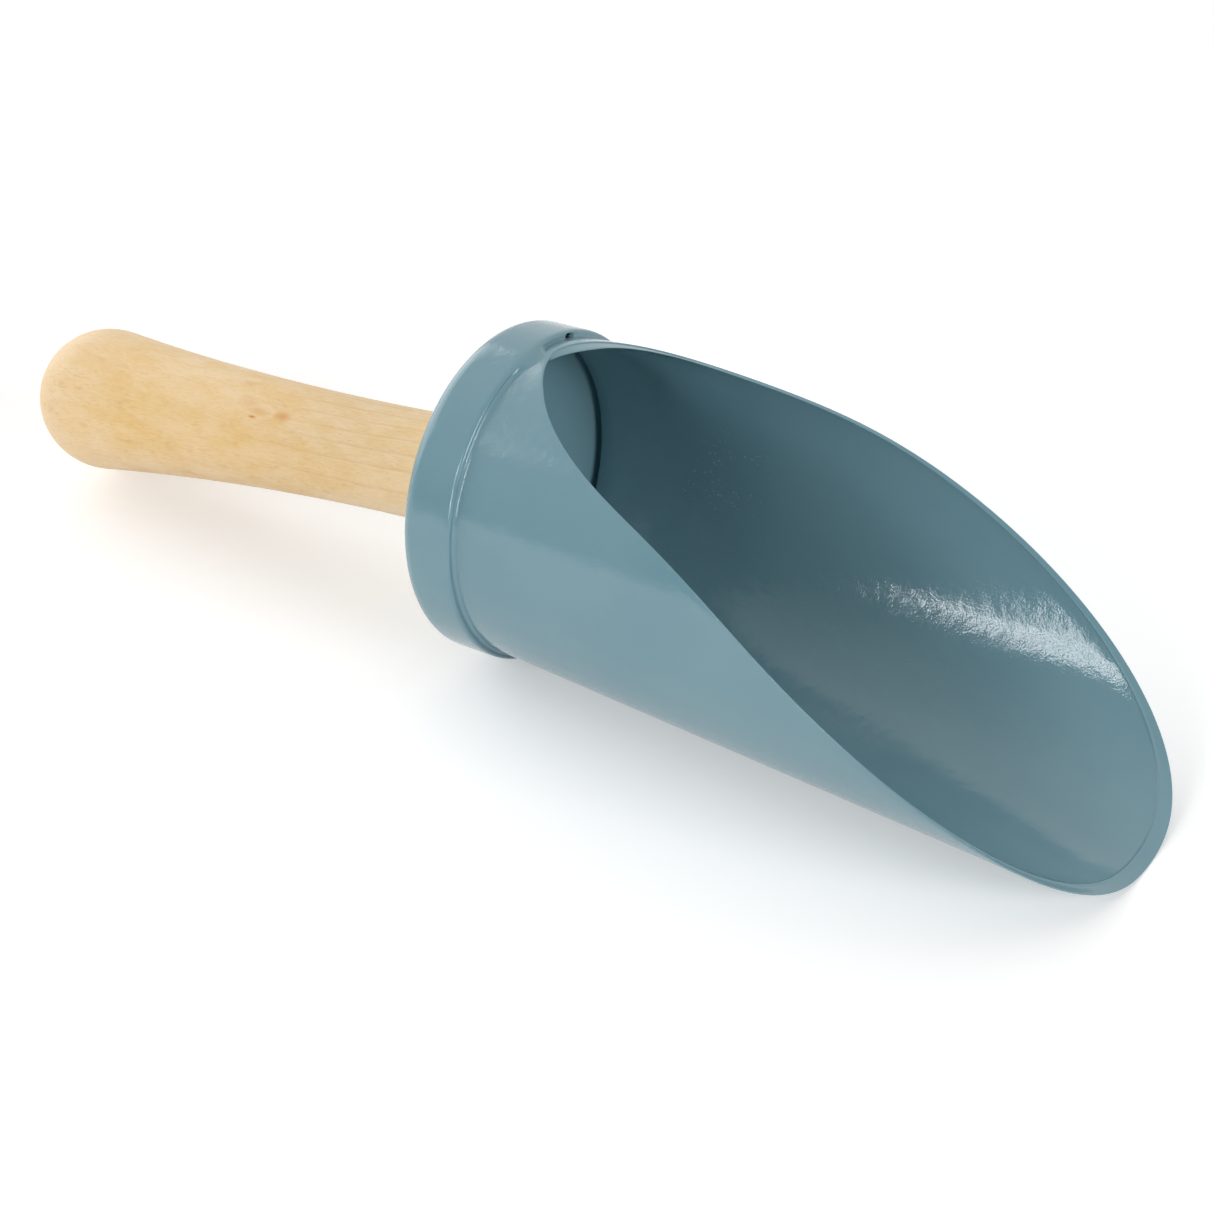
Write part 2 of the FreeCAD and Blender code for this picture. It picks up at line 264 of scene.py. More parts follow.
def draw_outline(name, points):
    """Starts a piece as a chain of edges: along the axis, and out from it."""
    start_clean()
    first = points[0]
    bpy.ops.mesh.primitive_plane_add(size=MM, location=(first[0], 0.0, first[1]))
    piece = name_piece(name)
    bpy.ops.object.transform_apply(location=True, rotation=True, scale=True)
    edit_all()
    bpy.ops.mesh.select_mode(type="VERT")
    bpy.ops.mesh.merge(type="CENTER")
    for here, following in zip(points, points[1:]):
        step = (following[0] - here[0], 0.0, following[1] - here[1])
        bpy.ops.mesh.extrude_region_move(TRANSFORM_OT_translate={"value": step})
    return piece


def spin_outline(steps):
    """Spins the chain round the axis, closes its seam and poles, and turns its faces outwards."""
    bpy.ops.mesh.select_all(action="SELECT")
    bpy.ops.mesh.spin(steps=steps, angle=math.tau, center=(0, 0, 0), axis=(1, 0, 0))
    bpy.ops.mesh.select_all(action="SELECT")
    bpy.ops.mesh.remove_doubles(threshold=WELD)
    turn_outwards()


def arc(centre, reach, start, stop, steps):
    """Points on part of a circle, with the angles measured from the axis."""
    turns = [start + (stop - start) * i / steps for i in range(steps + 1)]
    return [(centre[0] + reach * math.cos(turn), centre[1] + reach * math.sin(turn)) for turn in turns]


def axis_place(mount, along):
    """Puts the bench's X axis on a mount's axis, with its start that far behind the mount."""
    forward = -Vector(mount["axis"]).normalized()
    side = Vector((0, 1, 0))
    upward = forward.cross(side).normalized()
    turn = Matrix((forward, side, upward)).transposed().to_4x4()
    return Matrix.Translation(Vector(mount["pos_m"]) - forward * along) @ turn


def cap_place():
    """The cap's own frame: its start on the back of the cap, its X axis towards the lip."""
    return axis_place(MOUNTS["cap_flange"], bpy.context.scene.scoop_cap.corner + FLANGE_LENGTH / 2)


def handle_place():
    """The handle's own frame: its start on the back of the cap, its X axis towards the round end."""
    start = cap_place().translation
    away = Vector(MOUNTS["handle_neck"]["axis"]).normalized()
    side = Vector((0, -1, 0))
    turn = Matrix((away, side, away.cross(side).normalized())).transposed().to_4x4()
    return Matrix.Translation(start) @ turn


def set_down(piece, place, node, finish):
    """Puts a piece where it goes, gives it its finish, and lets it stand for its node."""
    take(piece)
    piece.matrix_world = place
    bpy.ops.object.transform_apply(location=True, rotation=True, scale=True)
    piece.data.materials.clear()
    piece.data.materials.append(finish)
    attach(piece, "root")
    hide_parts(node)
    return piece


def shade(piece, degrees):
    """Shades a piece smooth, with crisp edges where it turns by more than that."""
    take(piece)
    bpy.ops.object.shade_smooth_by_angle(angle=math.radians(degrees))


# ---------------------------------------------------------------- finishes

class Bench:
    """Adds nodes to the tree of a material or a world, and joins them up."""

    def __init__(self, owner):
        self.tree = owner.node_tree
        self.tree.nodes.clear()

    def add(self, kind, settings=None, **inputs):
        """Adds a node. An input is named as its socket is, or by its number as i0, i1 and so on."""
        node = self.tree.nodes.new("ShaderNode" + kind)
        for key, value in (settings or {}).items():
            setattr(node, key, value)
        for key, value in inputs.items():
            socket = node.inputs[int(key[1:])] if key[1:].isdigit() else node.inputs[key.replace("_", " ")]
            if isinstance(value, bpy.types.NodeSocket):
                self.tree.links.new(value, socket)
            else:
                socket.default_value = value
        return node

    def math(self, operation, first, second=0.0, third=0.0):
        return self.add("Math", {"operation": operation}, i0=first, i1=second, i2=third).outputs[0]

    def times(self, first, second):
        return self.math("MULTIPLY", first, second)

    def measure(self, operation, first, second=(0.0, 0.0, 0.0)):
        """A number taken from vectors: a length, a distance or a dot product."""
        node = self.add("VectorMath", {"operation": operation}, i0=first, i1=second)
        return node.outputs["Value"]

    def noise(self, vector, scale, detail=2.0, roughness=0.5, distortion=0.0):
        return self.add("TexNoise", None, Vector=vector, Scale=scale, Detail=detail,
                        Roughness=roughness, Distortion=distortion).outputs["Fac"]

    def spread(self, value, low, high, to_low=0.0, to_high=1.0):
        """Eases a value from one range over to another, and holds it at the ends."""
        return self.add("MapRange", {"interpolation_type": "SMOOTHSTEP"}, Value=value,
                        i1=low, i2=high, i3=to_low, i4=to_high).outputs[0]

    def mix(self, factor, first, second, blend="MIX"):
        node = self.add("Mix", {"data_type": "RGBA", "blend_type": blend})
        for index, value in ((0, factor), (6, first), (7, second)):
            if isinstance(value, bpy.types.NodeSocket):
                self.tree.links.new(value, node.inputs[index])
            else:
                node.inputs[index].default_value = value
        return node.outputs[2]

    def place(self, place=None):
        """Object coordinates, turned into a piece's own frame when its placement is given."""
        vector = self.add("TexCoord").outputs["Object"]
        if place is None:
            return vector
        back = place.inverted()
        return self.add("Mapping", None, Vector=vector, Location=back.translation,
                        Rotation=back.to_euler()).outputs[0]

    def stretch(self, vector, scale, location=(0, 0, 0)):
        return self.add("Mapping", None, Vector=vector, Scale=scale, Location=location).outputs[0]

    def grain(self, vector, scale, detail, roughness, low, high, location=(0, 0, 0)):
        """Noise that is stretched along the handle, eased to run from 0 to 1 between two levels."""
        vector = self.stretch(vector, scale, location)
        return self.spread(self.noise(vector, 1.0, detail, roughness), low, high)

    def show(self, shader, kind="OutputMaterial"):
        self.add(kind, None, Surface=shader.outputs[0])


def new_finish(name):
    """A material and the bench for its nodes, or no bench where the material is there already."""
    old = bpy.data.materials.get(name)
    if old:
        return old, None
    material = bpy.data.materials.new(name)
    material.use_nodes = True
    return material, Bench(material)


def solid(value):
    """A colour that lets nothing through."""
    return (value[0], value[1], value[2], 1.0)


def powder_coat():
    """Glossy powder coat: orange peel, slightly thinner patches, a few dust nibs painted paler as painted
    glints, and painted shade in one pit.
    """
    scene = bpy.context.scene
    look, cap, body = scene.scoop_paint, scene.scoop_cap, scene.scoop_body
    material, bench = new_finish("powder_coat")
    if bench is None:
        return material
    here = bench.place()
    patches = bench.spread(bench.noise(here, 28.0, 3.0), 0.35, 0.7)
    tone = bench.mix(patches, solid(look.tone), solid(look.thin))
    # dust nibs, crowded in one place on the far wall, each painted paler than the coat as a painted glint
    cells = bench.add("TexVoronoi", {"feature": "F1"}, Vector=here, Scale=1050.0, Randomness=1.0)
    crowd = bench.spread(bench.measure("DISTANCE", here, (0.030, 0.040, 0.037)), 0.004, 0.022, look.nibs, 0.0)
    crowd = bench.times(crowd, bench.spread(bench.noise(here, 160.0, 2.0), 0.25, 0.60))
    size = bench.math("MULTIPLY_ADD", crowd, 0.34, 0.010)
    small = bench.math("LESS_THAN", cells.outputs["Distance"], size)
    nib_and_glint = bench.times(small, bench.math("GREATER_THAN", cells.outputs["Color"], 0.5))
    tone = bench.mix(bench.times(nib_and_glint, 0.6), tone, NIB_GLINT_TONE)
    # painted shade: the pit beside the rim is painted near black for the shadow inside it
    out = body.radius + 0.45 * MM
    pit = (cap.depth - 0.9 * MM, out * math.sin(cap.pit_angle), out * math.cos(cap.pit_angle))
    pit_shade = bench.measure("DISTANCE", bench.place(cap_place()), pit)
    tone = bench.mix(bench.spread(pit_shade, 0.9 * MM, 1.25 * MM, 1.0, 0.0), tone, PIT_SHADE_TONE)
    # orange peel: fine grain on slower waves
    peel = bench.noise(here, 2000.0, 2.0, 0.45)
    wave = bench.noise(here, 330.0, 2.0, 0.45)
    height = bench.math("MULTIPLY_ADD", peel, 0.50, bench.times(wave, 1.25))
    height = bench.math("ADD", height, bench.times(nib_and_glint, 1.2))
    bump = bench.add("Bump", None, Height=height, Distance=look.peel, Strength=1.0)
    gloss = bench.spread(bench.noise(here, 60.0, 4.0), 0.3, 0.7, look.gloss - 0.015, look.gloss + 0.02)
    shader = bench.add("BsdfPrincipled", None, Base_Color=tone, Roughness=gloss,
                       Normal=bump.outputs[0], IOR=1.5)
    bench.show(shader)
    return material


# pin knots: millimetres along the handle, degrees round from its top towards the near side,
# length and width in millimetres, and strength
PIN_KNOTS = ((73.0, 45.0, 1.7, 0.55, 0.95), (71.5, 38.0, 4.0, 1.6, 0.34), (81.2, 12.0, 2.0, 0.5, 0.70),
             (80.0, 6.0, 4.0, 1.6, 0.30), (63.5, 38.0, 3.6, 1.9, 0.55), (76.0, 30.0, 5.0, 2.4, 0.22))
KNOT_RADIUS = 14.8 * MM


def turned_wood():
    """Pale close-grained wood with the grain lengthwise: growth lines, pores, mottling and pin knots."""
    look = bpy.context.scene.scoop_wood
    material, bench = new_finish("pale_turned_wood")
    if bench is None:
        return material
    here = bench.place(handle_place())
    along = bench.add("SeparateXYZ", None, Vector=here).outputs["X"]
    # growth lines, from rings about a pith that lies outside the handle and wanders
    wander = bench.noise(bench.stretch(here, (9.0, 34.0, 34.0)), 1.0, 3.0, 0.55)
    wander = bench.add("VectorMath", {"operation": "SCALE"},
                       Vector=bench.add("CombineXYZ", None, Y=wander, Z=wander).outputs[0],
                       Scale=0.012).outputs[0]
    log = bench.stretch(here, (0.16, 1.0, 1.0), (0.0, 0.021, -0.034))
    log = bench.add("VectorMath", {"operation": "ADD"}, i0=log, i1=wander).outputs[0]
    saw = {"wave_type": "RINGS", "rings_direction": "X", "wave_profile": "SAW"}
    rings = bench.add("TexWave", saw, Vector=log, Scale=88.0, Distortion=1.2, Detail=2.0,
                      Detail_Scale=1.2).outputs["Fac"]
    clear = bench.spread(along, 0.085, 0.030, 0.07, 0.30)           # the lines show best near the neck
    line = bench.times(bench.spread(rings, 0.76, 1.0), clear)
    # figure: fibres, pores, and patches from fine to broad
    fibre = bench.noise(bench.stretch(here, (260.0, 2300.0, 2300.0)), 1.0, 3.0, 0.6)
    pore = bench.grain(here, (420.0, 3000.0, 3000.0), 2.0, 0.5, 0.56, 0.70, (7, 3, 5))
    mottle = bench.grain(here, (85.0, 210.0, 210.0), 4.0, 0.62, 0.36, 0.66, (3, 1, 2))
    cloud = bench.grain(here, (22.0, 46.0, 46.0), 2.0, 0.5, 0.36, 0.64, (1, 9, 4))
    amber = bench.grain(here, (150.0, 340.0, 340.0), 3.0, 0.6, 0.54, 0.74, (4, 6, 8))
    # painted light: the side that faces the lamps is painted warmer, and the round end paler as a painted
    # sheen
    lamp_side_warmth = bench.spread(bench.measure("DOT_PRODUCT", here, (0.0, 0.64, 0.77)), -0.004, 0.015)
    end = bench.spread(along, 0.115, 0.155, 1.0, 0.45)
    warmth = bench.math("MULTIPLY_ADD", mottle, 0.34, bench.times(cloud, 0.22))
    warmth = bench.times(bench.math("MULTIPLY_ADD", lamp_side_warmth, 0.46, warmth), end)
    tone = bench.mix(warmth, solid(look.pale), solid(look.warm))
    amber = bench.times(bench.times(amber, cloud), 0.34)
    tone = bench.mix(amber, tone, solid(look.growth))
    tone = bench.mix(line, tone, solid(look.growth))
    tone = bench.mix(bench.spread(fibre, 0.35, 0.75, 0.0, 0.22), tone, solid(look.warm), "MULTIPLY")
    tone = bench.mix(bench.times(pore, 0.30), tone, solid(look.growth))
    for distance, turn, long, wide, strength in PIN_KNOTS:
        turn, shrink = math.radians(turn), (1 / (long * MM), 1 / (wide * MM), 1 / (wide * MM))
        spot = (distance * MM, KNOT_RADIUS * math.sin(turn), KNOT_RADIUS * math.cos(turn))
        near = bench.stretch(here, shrink, [-part * factor for part, factor in zip(spot, shrink)])
        ragged = bench.math("ADD", bench.measure("LENGTH", near), bench.times(fibre, 0.7))
        tone = bench.mix(bench.spread(ragged, 0.45, 1.45, strength, 0.0), tone, solid(look.fleck))
    height = bench.math("MULTIPLY_ADD", fibre, 0.6, bench.times(pore, -0.8))
    bump = bench.add("Bump", None, Height=height, Distance=0.02 * MM, Strength=1.0)
    satin = bench.spread(fibre, 0.3, 0.7, look.satin - 0.05, look.satin + 0.06)
    shader = bench.add("BsdfPrincipled", None, Base_Color=tone, Roughness=satin,
                       Normal=bump.outputs[0], IOR=1.45)
    bench.show(shader)
    return material


def zinc_plate():
    """Bright zinc plating with faint tool marks and duller patches."""
    look = bpy.context.scene.scoop_plate
    material, bench = new_finish("zinc_plate")
    if bench is None:
        return material
    here = bench.place(cap_place())
    marks = bench.noise(bench.stretch(here, (4000.0, 600.0, 600.0)), 1.0, 2.0)
    clouds = bench.noise(here, 450.0, 4.0)
    tone = bench.mix(bench.spread(clouds, 0.35, 0.7), solid(look.tone), DULL_ZINC)
    gloss = bench.spread(clouds, 0.3, 0.75, look.gloss - 0.08, look.gloss + 0.12)
    bump = bench.add("Bump", None, Height=marks, Distance=0.006 * MM, Strength=1.0)
    shader = bench.add("BsdfPrincipled", None, Base_Color=tone, Metallic=1.0, Roughness=gloss,
                       Normal=bump.outputs[0])
    bench.show(shader)
    return material


# ---------------------------------------------------------------- the rolled body

def mouth_line(sizes):
    """The side view of the cut: two curves that run on into each other, from the top down to the lip."""
    flare = math.tan(sizes.flare)
    start = Vector((sizes.rim + sizes.mouth_start, 0, sizes.radius + sizes.mouth_start * flare))
    lip = Vector((sizes.rim + sizes.reach, 0, -(sizes.radius + sizes.reach * flare)))
    first = start + sizes.mouth_pull * Vector((math.cos(sizes.mouth_angle), 0, -math.sin(sizes.mouth_angle)))
    shoulder = Vector((sizes.rim + sizes.shoulder_reach, 0, sizes.shoulder_height))
    last = lip - sizes.lip_pull * Vector((math.cos(sizes.lip_angle), 0, -math.sin(sizes.lip_angle)))
    before, after = (first + shoulder) / 2, (shoulder + last) / 2
    middle = (before + after) / 2
    return (interpolate_bezier(start, first, before, middle, 240)
            + interpolate_bezier(middle, after, last, lip, 240)[1:])


def mouth_reach(cut, sizes, turn, depth):
    """How far along the axis the sheet runs at that angle from the top, that deep into its thickness."""
    def above(spot):
        radius = sizes.radius + (spot.x - sizes.rim) * math.tan(sizes.flare) - depth / math.cos(sizes.flare)
        return spot.z - radius * math.cos(turn)
    heights = [above(spot) for spot in cut]
    for here, following, high, low in zip(cut, cut[1:], heights, heights[1:]):
        if high >= 0 > low:
            return here.x + (following.x - here.x) * high / (high - low)
    return cut[0].x if heights[0] < 0 else cut[-1].x


def wall_section(sizes, turn, outer_end, inner_end):
    """One lengthwise line of the sheet: how far along and how deep its points lie, outside, lip, inside."""
    sheet = sizes.sheet
    away = turn if turn < math.pi else turn - math.tau          # from the top, towards the near side
    # the cut is level on top, where it slants through the sheet, and square to the sheet on the near side
    slant = max(0.0, inner_end - outer_end)
    outer_end += slant * within(away / math.radians(20)) ** 0.8
    if slant > 0:
        inner_end = outer_end + slant * within((math.radians(3) - away) / math.radians(15))
    off = (away + math.radians(13)) / math.radians(19 if away > -math.radians(13) else 36)
    lead = max(0.0, 1 - off * off) ** 1.2
    towards_lip = ((1 - math.cos(turn)) / 2) ** 1.5
    lip = sizes.lip_bevel * (1 - 0.45 * max(0.0, -math.sin(away)))
    bevel = sizes.side_bevel + (lip - sizes.side_bevel) * towards_lip - 0.6 * sizes.side_bevel * lead
    inner_end += sizes.top_lead * lead
    # round the outer edge to the brow, down the bevel to the brink, over the bead of paint to the foot
    edge = sizes.edge_round
    outer_stop, inner_stop = outer_end - edge, inner_end - bevel
    brow = Vector((outer_end - 0.05 * MM, 0.3 * sheet))
    brink = Vector((inner_stop + 0.25 * MM, 0.88 * sheet))
    bead = Vector((inner_stop - 0.25 * MM, sheet + sizes.lip_bead * towards_lip))
    foot = Vector((inner_stop - 0.9 * MM, sheet))
    slope = (brink - brow).normalized()
    nose = interpolate_bezier(Vector((outer_stop, 0)), Vector((outer_end - 0.1 * edge, 0)),
                              brow - slope * 0.25 * MM, brow, 6)
    nose += [brow.lerp(brink, part) for part in (0.25, 0.5, 0.75)]
    nose += interpolate_bezier(brink, brink + slope * 0.2 * MM, bead + Vector((0.2 * MM, 0)), bead, 5)
    nose += interpolate_bezier(bead, bead - Vector((0.2 * MM, 0)), foot + Vector((0.3 * MM, 0)), foot, 5)[1:]
    rear = sizes.rear
    tuck = 0.25 * sheet
    parts = [i / sizes.rows for i in range(1, sizes.rows)]
    section = [Vector((rear + (outer_stop - rear) * part, 0)) for part in parts]
    section += nose
    section += [Vector((foot.x + (rear - foot.x) * part, sheet)) for part in parts]
    section += [Vector((rear + tuck, sheet)), Vector((rear + 0.3 * tuck, sheet - 0.3 * tuck)),
                Vector((rear, sheet - tuck)), Vector((rear, tuck)), Vector((rear + 0.3 * tuck, 0.3 * tuck)),
                Vector((rear + tuck, 0))]
    return section


class FEEDSCOOP_OT_roll_body(bpy.types.Operator):
    """Cuts the sheet for the body, rolls it into an opening trough and rounds its edges"""
    bl_idname = "feedscoop.roll_body"
    bl_label = "Roll the body"

    def execute(self, context):
        sizes = context.scene.scoop_body
        cut = mouth_line(sizes)
        gap = sizes.seam / 2 / sizes.radius
        turns = [gap + (math.tau - 2 * gap) * i / sizes.lines for i in range(sizes.lines + 1)]
        sections = [wall_section(sizes, turn, mouth_reach(cut, sizes, turn, 0.0),
                                 mouth_reach(cut, sizes, turn, sizes.sheet)) for turn in turns]
        round_wall = len(sections[0])
        start_clean()
        bpy.ops.mesh.primitive_grid_add(x_subdivisions=sizes.lines, y_subdivisions=round_wall, size=1.0)
        piece = name_piece("rolled_body")
        flare = math.tan(sizes.flare)
        for vertex in piece.data.vertices:
            line = round((vertex.co.x + 0.5) * sizes.lines)
            row = round((vertex.co.y + 0.5) * round_wall) % round_wall
            along, depth = sections[line][row]
            radius = sizes.radius + (along - sizes.rim) * flare - depth / math.cos(sizes.flare)
            turn = turns[line]
            vertex.co = (along, -radius * math.sin(turn), radius * math.cos(turn))
        edit_all()
        bpy.ops.mesh.remove_doubles(threshold=WELD)
        bpy.ops.mesh.select_all(action="DESELECT")
        bpy.ops.mesh.select_mode(type="EDGE")
        bpy.ops.mesh.select_non_manifold(extend=False, use_wire=False, use_boundary=True,
                                         use_multi_face=False, use_non_contiguous=False, use_verts=False)
        bpy.ops.mesh.fill(use_beauty=True)
        turn_outwards()
        shade(piece, 50)
        set_down(piece, cap_place(), "scoop_body", powder_coat())
        return {"FINISHED"}


# ---------------------------------------------------------------- the end cap

# how the flange eases over into the rim, one lean for each stride
CROWN = tuple(math.radians(lean) for lean in (4.0, 8.0, 10.5, 12.5, 15.0))
CROWN_STRIDE = 0.13 * MM


def ease_over(points, leans):
    """Adds points that run on from the last one, each at its own lean towards the axis."""
    for lean in leans:
        points.append((points[-1][0] + CROWN_STRIDE, points[-1][1] - CROWN_STRIDE * math.tan(lean)))


class FEEDSCOOP_OT_press_cap(bpy.types.Operator):
    """Presses the end cap: back, drawn corner, flange, hemmed rim and the paint that bridges to the body"""
    bl_idname = "feedscoop.press_cap"
    bl_label = "Press the end cap"

    def execute(self, context):
        cap, body = context.scene.scoop_cap, context.scene.scoop_body
        flare = math.tan(body.flare)

        def cone(along):
            return body.radius + (along - body.rim) * flare

        inner = CAP_RADIUS - cap.sheet
        turned = CAP_RADIUS - cap.corner
        nose, fillet = cap.nose, cap.fillet
        ease = math.radians(16)
        drop = CROWN_STRIDE * sum(math.tan(lean) for lean in CROWN)
        foot = cap.depth + fillet
        shelf = cone(foot) + fillet * math.cos(ease) + drop
        points = [(0.0, cap.hole)]
        points += [(0.0, cap.hole + (turned - cap.hole) * i / 6) for i in range(1, 6)]
        points += arc((cap.corner, turned), cap.corner, math.pi, QUARTER, 12)
        brow = cap.depth - nose * (1 - math.sin(ease)) - CROWN_STRIDE * len(CROWN)
        points += [(cap.corner + (brow - cap.corner) * i / 5, CAP_RADIUS) for i in range(1, 6)]
        ease_over(points, CROWN)
        points += arc((cap.depth - nose, CAP_RADIUS - drop - nose * math.cos(ease)), nose,
                          QUARTER - ease, 0.0, 6)[1:]
        points += arc((foot, shelf), fillet, math.pi, 3 * QUARTER - ease, 7)
        ease_over(points, reversed(CROWN))
        foot = points[-1][0]
        points += [(foot + 0.25 * MM, cone(foot) - 0.01 * MM), (foot + 0.2 * MM, cone(foot) - 0.15 * MM),
                   (cap.depth, cone(cap.depth) - 0.12 * MM),
                   (cap.depth - 0.4 * MM, cone(cap.depth) + 0.12 * MM)]
        back = cap.depth - cap.hem
        for part in (0.75, 0.5, 0.25):
            points.append((back + cap.hem * part, cone(back + cap.hem * part) + cap.hem_gap))
        points += [(back + 0.2 * MM, cone(back) + cap.hem_gap), (back, cone(back) + cap.hem_gap + 0.2 * MM),
                   (back, inner), (cap.corner, inner)]
        points += arc((cap.corner, turned), cap.corner - cap.sheet, QUARTER, math.pi, 9)[1:]
        points += [(cap.sheet, turned - (turned - cap.hole) * i / 6) for i in range(1, 6)]
        points += [(cap.sheet, cap.hole), (0.0, cap.hole)]
        piece = draw_outline("pressed_end_cap", points)
        spin_outline(cap.steps)
        self.lay_paint(piece, cap, cone(cap.depth))
        self.leave_pit(piece, cap, cone)
        shade(piece, 38)
        set_down(piece, cap_place(), "end_cap", powder_coat())
        return {"FINISHED"}

    def lay_paint(self, piece, cap, wall):
        """Runs the paint over the rim on one side of the top, and leaves the joint crisp on the other."""
        step = CAP_RADIUS - wall
        for vertex in piece.data.vertices:
            out = math.hypot(vertex.co.y, vertex.co.z)
            if vertex.co.x < cap.depth - 1.2 * cap.nose or out < wall - 0.05 * MM:
                continue
            turn = math.atan2(-vertex.co.y, vertex.co.z)
            off = (turn - cap.blob_angle) / cap.blob_width
            off = abs(off) if off < 0 else off / 1.6
            run = max(0.0, 1 - off * off) ** 2
            crisp = within((cap.blob_angle - turn - 0.6 * cap.blob_width) / math.radians(4))
            crisp *= within((turn + math.radians(42)) / math.radians(12))
            beyond = max(0.0, vertex.co.x - cap.depth)
            low = 1 - within((out - wall) / step)
            vertex.co.x += run * cap.blob_reach * low - 0.75 * crisp * beyond
            raised = out - 0.75 * crisp * (out - wall) if beyond > 0 else out
            vertex.co.y *= raised / out
            vertex.co.z *= raised / out

    def leave_pit(self, piece, cap, cone):
        """Draws the paint back where it left a pit between the rim and the body."""
        outward = Vector((0, math.sin(cap.pit_angle), math.cos(cap.pit_angle)))
        across = Vector((0, math.cos(cap.pit_angle), -math.sin(cap.pit_angle)))
        brim = cone(cap.depth) + 1.1 * MM
        for vertex in piece.data.vertices:
            spot = Vector((0, vertex.co.y, vertex.co.z))
            if spot.dot(outward) < 0 or vertex.co.x < cap.depth - 0.6 * MM:
                continue
            out = spot.length
            side = abs(spot.dot(across)) / cap.pit_width
            if side < 1.0 and out < brim:
                shore = min(1.0, (brim - out) / (0.35 * MM))
                vertex.co.x -= cap.pit_depth * math.sqrt(1 - side * side) * shore


# ---------------------------------------------------------------- the handle

class FEEDSCOOP_OT_turn_handle(bpy.types.Operator):
    """Turns the handle: hollow waist, round end, and a neck cut to sit flat on the cap"""
    bl_idname = "feedscoop.turn_handle"
    bl_label = "Turn the handle"

    def execute(self, context):
        sizes = context.scene.scoop_handle
        middle, ball = self.hollow_middle(sizes), Vector((sizes.reach, 0))
        meet = ball + (middle - ball).normalized() * sizes.ball
        before = -2.0 * MM              # a little extra, cut off where the neck sits on the cap
        points = [(before, 0.0)]
        rows = 46
        for i in range(rows + 1):
            along = before + (meet.x - before) * i / rows
            points.append((along, middle.y - math.sqrt(sizes.hollow ** 2 - (along - middle.x) ** 2)))
        start = math.atan2(meet.y, meet.x - sizes.reach)
        points += arc((sizes.reach, 0.0), sizes.ball, start, 0.0, 34)[1:]
        points[-1] = (points[-1][0], 0.0)
        piece = draw_outline("turned_handle", points)
        spin_outline(sizes.steps)
        back = handle_place().inverted() @ cap_place()
        seat, facing = back.translation, (back.to_3x3() @ Vector((1, 0, 0))).normalized()
        edit_all()
        bpy.ops.mesh.bisect(plane_co=seat, plane_no=facing, use_fill=True, clear_outer=True)
        turn_outwards()
        shade(piece, 45)
        set_down(piece, handle_place(), "handle", turned_wood())
        return {"FINISHED"}

    def hollow_middle(self, sizes):
        """The middle of the hollow curve, which runs through the neck and touches the round end."""
        both = sizes.hollow + sizes.ball
        slope = sizes.reach / sizes.neck
        height = (both ** 2 - sizes.hollow ** 2 - sizes.reach ** 2 + sizes.neck ** 2) / (2 * sizes.neck)
        rise = height - sizes.neck
        square, linear = 1 + slope ** 2, 2 * slope * rise
        root = math.sqrt(linear ** 2 - 4 * square * (rise ** 2 - sizes.hollow ** 2))
        along = (root - linear) / (2 * square)
        return Vector((along, height + slope * along))


# ---------------------------------------------------------------- screw and washer

